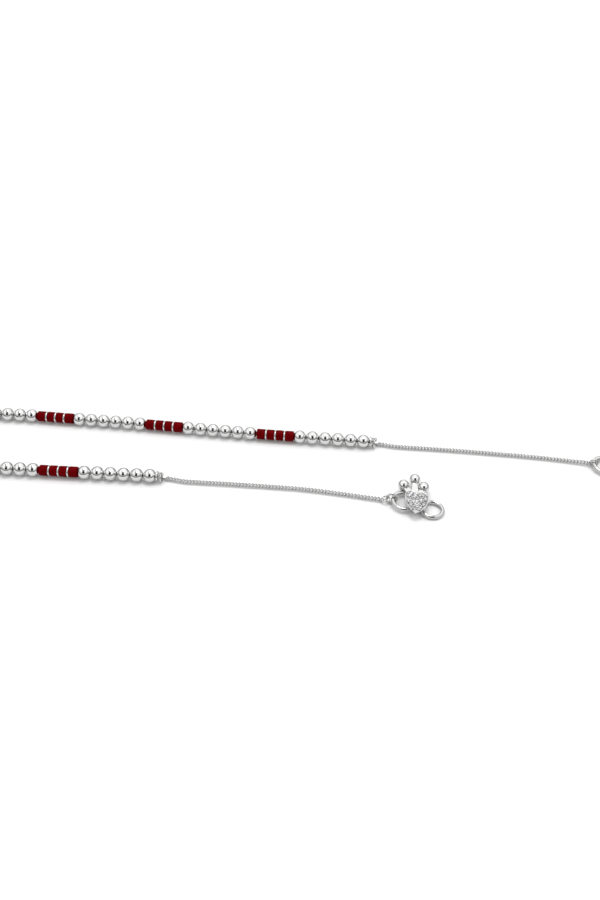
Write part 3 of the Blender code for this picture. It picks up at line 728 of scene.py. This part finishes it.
def bed_height(x, y):
    """The height at which a stone sits: a little below the heart's bed at that place."""
    return bed_tree.ray_cast(Vector((x, y, 10 * MM)), Vector((0, 0, -1)))[0].z - STONE_SINK


stones = bmesh.new()
grains = bmesh.new()
row_step = STONE_PITCH * sin(pi / 3)
for row in range(-6, 7):
    for column in range(-5, 6):
        x = (column + (0.5 if row % 2 else 0.0)) * STONE_PITCH
        y = row * row_step + STONE_SHIFT
        if in_heart(x, y, HEART_RIM + STONE_DIAMETER * STONE_EDGE_SHARE):
            turned = (Matrix.Translation((x, y, bed_height(x, y)))
                      @ Matrix.Rotation(STONE_TURN * row + column, 4, "Z"))
            raised = Matrix.Translation((0, 0, STONE_CROWN / 2))
            bmesh.ops.create_cone(stones, cap_ends=True, segments=8, radius1=STONE_DIAMETER / 2,
                                  radius2=STONE_TABLE / 2, depth=STONE_CROWN,
                                  matrix=heart_middle @ turned @ raised)
        grain_y = y + row_step * 2 / 3
        if in_heart(x, grain_y, HEART_RIM + GRAIN_DIAMETER):
            place = Vector((x, grain_y, bed_height(x, grain_y) + STONE_CROWN / 2))
            bmesh.ops.create_icosphere(grains, subdivisions=1, radius=GRAIN_DIAMETER / 2,
                                       matrix=heart_middle @ Matrix.Translation(place))
heart_stones = finished_piece("heart_stones", stones, clear_stone, 10)
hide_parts("heart_hook")
stone_grains = finished_piece("stone_grains", grains, hook_silver, 60)
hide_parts("heart_hook")

# The crown. Three flat prongs fan out behind the heart, widest where they are soldered under it,
# and each carries a polished ball.

CROWN_BALL_DIAMETER = 2.16 * MM
PRONG_THICKNESS = 0.50 * MM
PRONG_ROOT_WIDTH = 1.45 * MM
PRONG_TIP_WIDTH = 0.80 * MM
PRONG_ROUNDING = 0.10 * MM
CROWN_RISE = 0.55 * MM
CROWN_HEIGHT = HEART_BASE + CROWN_RISE
# Root and tip of each prong, as shares of the heart's half width and half length
PRONGS = (
    ((-0.42, 0.70), (-1.16, 1.49)),
    ((-0.18, 0.74), (-0.25, 2.16)),
    ((0.26, 0.70), (0.53, 1.54)),
)

crown = bmesh.new()
for root_share, tip_share in PRONGS:
    root = Vector((root_share[0] * HEART_WIDTH / 2, root_share[1] * HEART_LENGTH / 2))
    tip = Vector((tip_share[0] * HEART_WIDTH / 2, tip_share[1] * HEART_LENGTH / 2))
    prong_length = (tip - root).length
    outline = [crown.verts.new((x, y, -PRONG_THICKNESS / 2)) for x, y in (
        (0, -PRONG_ROOT_WIDTH / 2), (prong_length, -PRONG_TIP_WIDTH / 2),
        (prong_length, PRONG_TIP_WIDTH / 2), (0, PRONG_ROOT_WIDTH / 2))]
    flat = crown.faces.new(outline)
    raised = bmesh.ops.extrude_face_region(crown, geom=[flat])["geom"]
    upper = [part for part in raised if isinstance(part, bmesh.types.BMVert)]
    bmesh.ops.translate(crown, verts=upper, vec=(0, 0, PRONG_THICKNESS))
    edges = list({edge for vert in [*outline, *upper] for edge in vert.link_edges})
    rounded = bmesh.ops.bevel(crown, geom=edges, affect="EDGES", offset=PRONG_ROUNDING, segments=3,
                              profile=0.5, material=-1)
    prong_verts = {vert for face in rounded["faces"] for vert in face.verts}
    turned = Matrix.Rotation(atan2(tip.y - root.y, tip.x - root.x), 4, "Z")
    placed = heart_middle @ Matrix.Translation((root.x, root.y, CROWN_HEIGHT)) @ turned
    bmesh.ops.transform(crown, matrix=placed, verts=list(prong_verts))
    ball_place = heart_middle @ Matrix.Translation((tip.x, tip.y, CROWN_HEIGHT))
    bmesh.ops.create_uvsphere(crown, u_segments=40, v_segments=24, radius=CROWN_BALL_DIAMETER / 2,
                              matrix=ball_place)
heart_crown = finished_piece("heart_crown", crown, ball_silver, 35)
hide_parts("heart_hook")
